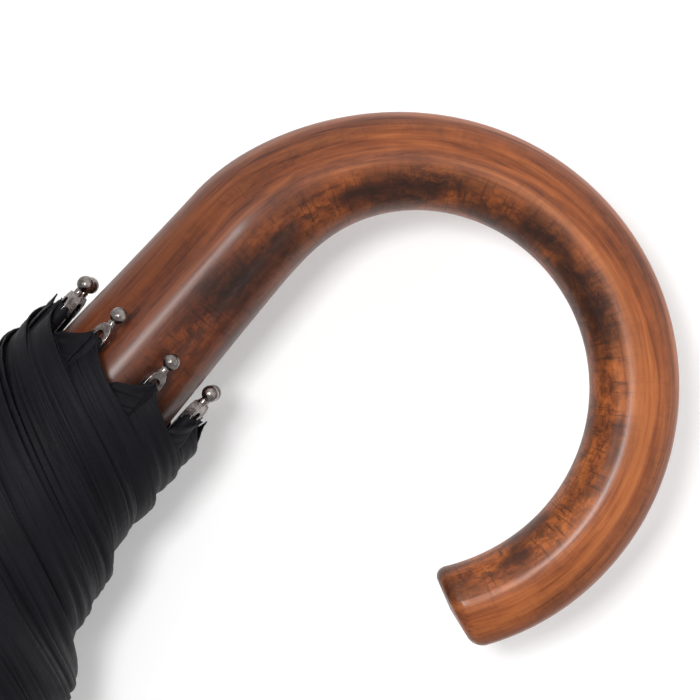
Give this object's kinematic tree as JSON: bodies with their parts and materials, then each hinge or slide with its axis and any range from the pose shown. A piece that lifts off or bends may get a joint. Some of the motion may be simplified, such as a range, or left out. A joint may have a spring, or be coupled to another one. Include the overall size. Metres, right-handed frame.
{
  "type": "stick umbrella",
  "caption": "Furled stick umbrella with a bent wooden crook handle, steel ribs with ball tips, a sliding runner, sprung catches and a black cloth canopy.",
  "frame": {"origin": "on the shaft's axis, where the straight grip turns into the crook", "axes": "+Z along the shaft from the handle to the ferrule, +X towards the side that the crook bends to"},
  "size_m": [0.1463, 0.0725, 0.7957],
  "materials": {
    "varnished_wood": "gloss varnish over curly maple stained red-brown",
    "black_steel": "satin black enamel",
    "rib_steel": "nickelled steel",
    "catch_steel": "bright spring steel",
    "gunmetal": "polished gunmetal plating",
    "black_plastic": "moulded black",
    "ferrule_plastic": "moulded black",
    "canopy_cloth": "fine plain-weave pongee, slight sheen",
    "strap_cloth": "the canopy's cloth, folded and stitched"
  },
  "bodies": {
    "root": {"crook_handle": "varnished_wood", "shaft": "black_steel", "top_notch": "black_plastic", "notch_wire": "rib_steel", "canopy_cap": "gunmetal", "ferrule": "ferrule_plastic"},
    "runner": {"runner": "black_plastic", "runner_wire": "rib_steel"},
    "closing_catch": {"closing_catch": "catch_steel"},
    "opening_catch": {"opening_catch": "catch_steel"},
    "rib_inner_1": {"rib_inner_1": "rib_steel"},
    "rib_outer_1": {"rib_outer_1": "rib_steel", "rib_tip_1": "gunmetal"},
    "stretcher_1": {"stretcher_1": "rib_steel"},
    "canopy_upper_1": {"canopy_upper_1": "canopy_cloth"},
    "canopy_lower_1": {"canopy_lower_1": "canopy_cloth"},
    "rib_inner_2": {"rib_inner_2": "rib_steel"},
    "rib_outer_2": {"rib_outer_2": "rib_steel", "rib_tip_2": "gunmetal"},
    "stretcher_2": {"stretcher_2": "rib_steel"},
    "canopy_upper_2": {"canopy_upper_2": "canopy_cloth"},
    "canopy_lower_2": {"canopy_lower_2": "canopy_cloth"},
    "rib_inner_3": {"rib_inner_3": "rib_steel"},
    "rib_outer_3": {"rib_outer_3": "rib_steel", "rib_tip_3": "gunmetal", "tie_strap": "strap_cloth", "tie_snap": "gunmetal"},
    "stretcher_3": {"stretcher_3": "rib_steel"},
    "canopy_upper_3": {"canopy_upper_3": "canopy_cloth"},
    "canopy_lower_3": {"canopy_lower_3": "canopy_cloth"},
    "rib_inner_4": {"rib_inner_4": "rib_steel"},
    "rib_outer_4": {"rib_outer_4": "rib_steel", "rib_tip_4": "gunmetal"},
    "stretcher_4": {"stretcher_4": "rib_steel"},
    "canopy_upper_4": {"canopy_upper_4": "canopy_cloth"},
    "canopy_lower_4": {"canopy_lower_4": "canopy_cloth"},
    "rib_inner_5": {"rib_inner_5": "rib_steel"},
    "rib_outer_5": {"rib_outer_5": "rib_steel", "rib_tip_5": "gunmetal"},
    "stretcher_5": {"stretcher_5": "rib_steel"},
    "canopy_upper_5": {"canopy_upper_5": "canopy_cloth"},
    "canopy_lower_5": {"canopy_lower_5": "canopy_cloth"},
    "rib_inner_6": {"rib_inner_6": "rib_steel"},
    "rib_outer_6": {"rib_outer_6": "rib_steel", "rib_tip_6": "gunmetal"},
    "stretcher_6": {"stretcher_6": "rib_steel"},
    "canopy_upper_6": {"canopy_upper_6": "canopy_cloth"},
    "canopy_lower_6": {"canopy_lower_6": "canopy_cloth"},
    "rib_inner_7": {"rib_inner_7": "rib_steel"},
    "rib_outer_7": {"rib_outer_7": "rib_steel", "rib_tip_7": "gunmetal"},
    "stretcher_7": {"stretcher_7": "rib_steel"},
    "canopy_upper_7": {"canopy_upper_7": "canopy_cloth"},
    "canopy_lower_7": {"canopy_lower_7": "canopy_cloth"},
    "rib_inner_8": {"rib_inner_8": "rib_steel"},
    "rib_outer_8": {"rib_outer_8": "rib_steel", "rib_tip_8": "gunmetal"},
    "stretcher_8": {"stretcher_8": "rib_steel"},
    "canopy_upper_8": {"canopy_upper_8": "canopy_cloth"},
    "canopy_lower_8": {"canopy_lower_8": "canopy_cloth"}
  },
  "joints": [
    {"name": "runner_slide", "type": "slide", "parent": "root", "child": "runner", "axis": [0, 0, 1], "range_m": [0, 0.4276], "deforming": ["canopy_upper_1", "canopy_upper_2", "canopy_upper_3", "canopy_upper_4", "canopy_upper_5", "canopy_upper_6", "canopy_upper_7", "canopy_upper_8", "canopy_lower_1", "canopy_lower_2", "canopy_lower_3", "canopy_lower_4", "canopy_lower_5", "canopy_lower_6", "canopy_lower_7", "canopy_lower_8", "tie_strap", "tie_snap"]},
    {"name": "closing_catch_press", "type": "hinge", "parent": "root", "child": "closing_catch", "pos_m": [0.0014, 0, 0.044], "axis": [0, -1, 0], "range_deg": [0, 9], "stiffness_Nm_per_rad": 0.5},
    {"name": "opening_catch_press", "type": "hinge", "parent": "root", "child": "opening_catch", "pos_m": [0.0014, 0, 0.44813], "axis": [0, -1, 0], "range_deg": [0, 9], "stiffness_Nm_per_rad": 0.5},
    {"name": "rib_hinge_1", "type": "hinge", "parent": "root", "child": "rib_inner_1", "pos_m": [0.00785, 0.00325, 0.63], "axis": [0.3827, -0.9239, 0], "range_deg": [0, 76.75]},
    {"name": "rib_flex_1", "type": "hinge", "parent": "rib_inner_1", "child": "rib_outer_1", "pos_m": [0.01359, 0.00563, 0.35007], "axis": [-0.3827, 0.9239, 0], "range_deg": [0, 26.02]},
    {"name": "stretcher_hinge_1", "type": "hinge", "parent": "rib_inner_1", "child": "stretcher_1", "pos_m": [0.01338, 0.00554, 0.36007], "axis": [-0.3827, 0.9239, 0], "range_deg": [0, 153.48]},
    {"name": "canopy_upper_spread_1", "type": "slide", "parent": "rib_inner_1", "child": "canopy_upper_1", "axis": [-0.4347, 0.8199, 0.3725], "range_m": [0, 0.21633]},
    {"name": "canopy_lower_spread_1", "type": "slide", "parent": "rib_outer_1", "child": "canopy_lower_1", "axis": [-0.5773, 0.7609, 0.2963], "range_m": [0, 0.40844]},
    {"name": "rib_hinge_2", "type": "hinge", "parent": "root", "child": "rib_inner_2", "pos_m": [0.00325, 0.00785, 0.63], "axis": [0.9239, -0.3827, 0], "range_deg": [0, 76.75]},
    {"name": "rib_flex_2", "type": "hinge", "parent": "rib_inner_2", "child": "rib_outer_2", "pos_m": [0.00563, 0.01359, 0.35007], "axis": [-0.9239, 0.3827, 0], "range_deg": [0, 26.02]},
    {"name": "stretcher_hinge_2", "type": "hinge", "parent": "rib_inner_2", "child": "stretcher_2", "pos_m": [0.00554, 0.01338, 0.36007], "axis": [-0.9239, 0.3827, 0], "range_deg": [0, 153.48]},
    {"name": "canopy_upper_spread_2", "type": "slide", "parent": "rib_inner_2", "child": "canopy_upper_2", "axis": [-0.8872, 0.2724, 0.3725], "range_m": [0, 0.21633]},
    {"name": "canopy_lower_spread_2", "type": "slide", "parent": "rib_outer_2", "child": "canopy_lower_2", "axis": [-0.9463, 0.1298, 0.2963], "range_m": [0, 0.40844]},
    {"name": "rib_hinge_3", "type": "hinge", "parent": "root", "child": "rib_inner_3", "pos_m": [-0.00325, 0.00785, 0.63], "axis": [0.9239, 0.3827, 0], "range_deg": [0, 76.75]},
    {"name": "rib_flex_3", "type": "hinge", "parent": "rib_inner_3", "child": "rib_outer_3", "pos_m": [-0.00563, 0.01359, 0.35007], "axis": [-0.9239, -0.3827, 0], "range_deg": [0, 26.02]},
    {"name": "stretcher_hinge_3", "type": "hinge", "parent": "rib_inner_3", "child": "stretcher_3", "pos_m": [-0.00554, 0.01338, 0.36007], "axis": [-0.9239, -0.3827, 0], "range_deg": [0, 153.48]},
    {"name": "canopy_upper_spread_3", "type": "slide", "parent": "rib_inner_3", "child": "canopy_upper_3", "axis": [-0.8199, -0.4347, 0.3725], "range_m": [0, 0.21633]},
    {"name": "canopy_lower_spread_3", "type": "slide", "parent": "rib_outer_3", "child": "canopy_lower_3", "axis": [-0.7609, -0.5773, 0.2963], "range_m": [0, 0.40844]},
    {"name": "rib_hinge_4", "type": "hinge", "parent": "root", "child": "rib_inner_4", "pos_m": [-0.00785, 0.00325, 0.63], "axis": [0.3827, 0.9239, 0], "range_deg": [0, 76.75]},
    {"name": "rib_flex_4", "type": "hinge", "parent": "rib_inner_4", "child": "rib_outer_4", "pos_m": [-0.01359, 0.00563, 0.35007], "axis": [-0.3827, -0.9239, 0], "range_deg": [0, 26.02]},
    {"name": "stretcher_hinge_4", "type": "hinge", "parent": "rib_inner_4", "child": "stretcher_4", "pos_m": [-0.01338, 0.00554, 0.36007], "axis": [-0.3827, -0.9239, 0], "range_deg": [0, 153.48]},
    {"name": "canopy_upper_spread_4", "type": "slide", "parent": "rib_inner_4", "child": "canopy_upper_4", "axis": [-0.2724, -0.8872, 0.3725], "range_m": [0, 0.21633]},
    {"name": "canopy_lower_spread_4", "type": "slide", "parent": "rib_outer_4", "child": "canopy_lower_4", "axis": [-0.1298, -0.9463, 0.2963], "range_m": [0, 0.40844]},
    {"name": "rib_hinge_5", "type": "hinge", "parent": "root", "child": "rib_inner_5", "pos_m": [-0.00785, -0.00325, 0.63], "axis": [-0.3827, 0.9239, 0], "range_deg": [0, 76.75]},
    {"name": "rib_flex_5", "type": "hinge", "parent": "rib_inner_5", "child": "rib_outer_5", "pos_m": [-0.01359, -0.00563, 0.35007], "axis": [0.3827, -0.9239, 0], "range_deg": [0, 26.02]},
    {"name": "stretcher_hinge_5", "type": "hinge", "parent": "rib_inner_5", "child": "stretcher_5", "pos_m": [-0.01338, -0.00554, 0.36007], "axis": [0.3827, -0.9239, 0], "range_deg": [0, 153.48]},
    {"name": "canopy_upper_spread_5", "type": "slide", "parent": "rib_inner_5", "child": "canopy_upper_5", "axis": [0.4347, -0.8199, 0.3725], "range_m": [0, 0.21633]},
    {"name": "canopy_lower_spread_5", "type": "slide", "parent": "rib_outer_5", "child": "canopy_lower_5", "axis": [0.5773, -0.7609, 0.2963], "range_m": [0, 0.40844]},
    {"name": "rib_hinge_6", "type": "hinge", "parent": "root", "child": "rib_inner_6", "pos_m": [-0.00325, -0.00785, 0.63], "axis": [-0.9239, 0.3827, 0], "range_deg": [0, 76.75]},
    {"name": "rib_flex_6", "type": "hinge", "parent": "rib_inner_6", "child": "rib_outer_6", "pos_m": [-0.00563, -0.01359, 0.35007], "axis": [0.9239, -0.3827, 0], "range_deg": [0, 26.02]},
    {"name": "stretcher_hinge_6", "type": "hinge", "parent": "rib_inner_6", "child": "stretcher_6", "pos_m": [-0.00554, -0.01338, 0.36007], "axis": [0.9239, -0.3827, 0], "range_deg": [0, 153.48]},
    {"name": "canopy_upper_spread_6", "type": "slide", "parent": "rib_inner_6", "child": "canopy_upper_6", "axis": [0.8872, -0.2724, 0.3725], "range_m": [0, 0.21633]},
    {"name": "canopy_lower_spread_6", "type": "slide", "parent": "rib_outer_6", "child": "canopy_lower_6", "axis": [0.9463, -0.1298, 0.2963], "range_m": [0, 0.40844]},
    {"name": "rib_hinge_7", "type": "hinge", "parent": "root", "child": "rib_inner_7", "pos_m": [0.00325, -0.00785, 0.63], "axis": [-0.9239, -0.3827, 0], "range_deg": [0, 76.75]},
    {"name": "rib_flex_7", "type": "hinge", "parent": "rib_inner_7", "child": "rib_outer_7", "pos_m": [0.00563, -0.01359, 0.35007], "axis": [0.9239, 0.3827, 0], "range_deg": [0, 26.02]},
    {"name": "stretcher_hinge_7", "type": "hinge", "parent": "rib_inner_7", "child": "stretcher_7", "pos_m": [0.00554, -0.01338, 0.36007], "axis": [0.9239, 0.3827, 0], "range_deg": [0, 153.48]},
    {"name": "canopy_upper_spread_7", "type": "slide", "parent": "rib_inner_7", "child": "canopy_upper_7", "axis": [0.8199, 0.4347, 0.3725], "range_m": [0, 0.21633]},
    {"name": "canopy_lower_spread_7", "type": "slide", "parent": "rib_outer_7", "child": "canopy_lower_7", "axis": [0.7609, 0.5773, 0.2963], "range_m": [0, 0.40844]},
    {"name": "rib_hinge_8", "type": "hinge", "parent": "root", "child": "rib_inner_8", "pos_m": [0.00785, -0.00325, 0.63], "axis": [-0.3827, -0.9239, 0], "range_deg": [0, 76.75]},
    {"name": "rib_flex_8", "type": "hinge", "parent": "rib_inner_8", "child": "rib_outer_8", "pos_m": [0.01359, -0.00563, 0.35007], "axis": [0.3827, 0.9239, 0], "range_deg": [0, 26.02]},
    {"name": "stretcher_hinge_8", "type": "hinge", "parent": "rib_inner_8", "child": "stretcher_8", "pos_m": [0.01338, -0.00554, 0.36007], "axis": [0.3827, 0.9239, 0], "range_deg": [0, 153.48]},
    {"name": "canopy_upper_spread_8", "type": "slide", "parent": "rib_inner_8", "child": "canopy_upper_8", "axis": [0.2724, 0.8872, 0.3725], "range_m": [0, 0.21633]},
    {"name": "canopy_lower_spread_8", "type": "slide", "parent": "rib_outer_8", "child": "canopy_lower_8", "axis": [0.1298, 0.9463, 0.2963], "range_m": [0, 0.40844]}
  ],
  "couplings": [
    {"joint": "rib_hinge_1", "follows": "runner_slide", "rad_per_m": 3.1319},
    {"joint": "rib_flex_1", "follows": "runner_slide", "rad_per_m": 1.0612},
    {"joint": "stretcher_hinge_1", "follows": "runner_slide", "rad_per_m": 6.2638},
    {"joint": "canopy_upper_spread_1", "follows": "runner_slide", "ratio": 0.50544},
    {"joint": "canopy_lower_spread_1", "follows": "runner_slide", "ratio": 0.95473},
    {"joint": "rib_hinge_2", "follows": "runner_slide", "rad_per_m": 3.1319},
    {"joint": "rib_flex_2", "follows": "runner_slide", "rad_per_m": 1.0612},
    {"joint": "stretcher_hinge_2", "follows": "runner_slide", "rad_per_m": 6.2638},
    {"joint": "canopy_upper_spread_2", "follows": "runner_slide", "ratio": 0.50544},
    {"joint": "canopy_lower_spread_2", "follows": "runner_slide", "ratio": 0.95473},
    {"joint": "rib_hinge_3", "follows": "runner_slide", "rad_per_m": 3.1319},
    {"joint": "rib_flex_3", "follows": "runner_slide", "rad_per_m": 1.0612},
    {"joint": "stretcher_hinge_3", "follows": "runner_slide", "rad_per_m": 6.2638},
    {"joint": "canopy_upper_spread_3", "follows": "runner_slide", "ratio": 0.50544},
    {"joint": "canopy_lower_spread_3", "follows": "runner_slide", "ratio": 0.95473},
    {"joint": "rib_hinge_4", "follows": "runner_slide", "rad_per_m": 3.1319},
    {"joint": "rib_flex_4", "follows": "runner_slide", "rad_per_m": 1.0612},
    {"joint": "stretcher_hinge_4", "follows": "runner_slide", "rad_per_m": 6.2638},
    {"joint": "canopy_upper_spread_4", "follows": "runner_slide", "ratio": 0.50544},
    {"joint": "canopy_lower_spread_4", "follows": "runner_slide", "ratio": 0.95473},
    {"joint": "rib_hinge_5", "follows": "runner_slide", "rad_per_m": 3.1319},
    {"joint": "rib_flex_5", "follows": "runner_slide", "rad_per_m": 1.0612},
    {"joint": "stretcher_hinge_5", "follows": "runner_slide", "rad_per_m": 6.2638},
    {"joint": "canopy_upper_spread_5", "follows": "runner_slide", "ratio": 0.50544},
    {"joint": "canopy_lower_spread_5", "follows": "runner_slide", "ratio": 0.95473},
    {"joint": "rib_hinge_6", "follows": "runner_slide", "rad_per_m": 3.1319},
    {"joint": "rib_flex_6", "follows": "runner_slide", "rad_per_m": 1.0612},
    {"joint": "stretcher_hinge_6", "follows": "runner_slide", "rad_per_m": 6.2638},
    {"joint": "canopy_upper_spread_6", "follows": "runner_slide", "ratio": 0.50544},
    {"joint": "canopy_lower_spread_6", "follows": "runner_slide", "ratio": 0.95473},
    {"joint": "rib_hinge_7", "follows": "runner_slide", "rad_per_m": 3.1319},
    {"joint": "rib_flex_7", "follows": "runner_slide", "rad_per_m": 1.0612},
    {"joint": "stretcher_hinge_7", "follows": "runner_slide", "rad_per_m": 6.2638},
    {"joint": "canopy_upper_spread_7", "follows": "runner_slide", "ratio": 0.50544},
    {"joint": "canopy_lower_spread_7", "follows": "runner_slide", "ratio": 0.95473},
    {"joint": "rib_hinge_8", "follows": "runner_slide", "rad_per_m": 3.1319},
    {"joint": "rib_flex_8", "follows": "runner_slide", "rad_per_m": 1.0612},
    {"joint": "stretcher_hinge_8", "follows": "runner_slide", "rad_per_m": 6.2638},
    {"joint": "canopy_upper_spread_8", "follows": "runner_slide", "ratio": 0.50544},
    {"joint": "canopy_lower_spread_8", "follows": "runner_slide", "ratio": 0.95473}
  ]
}
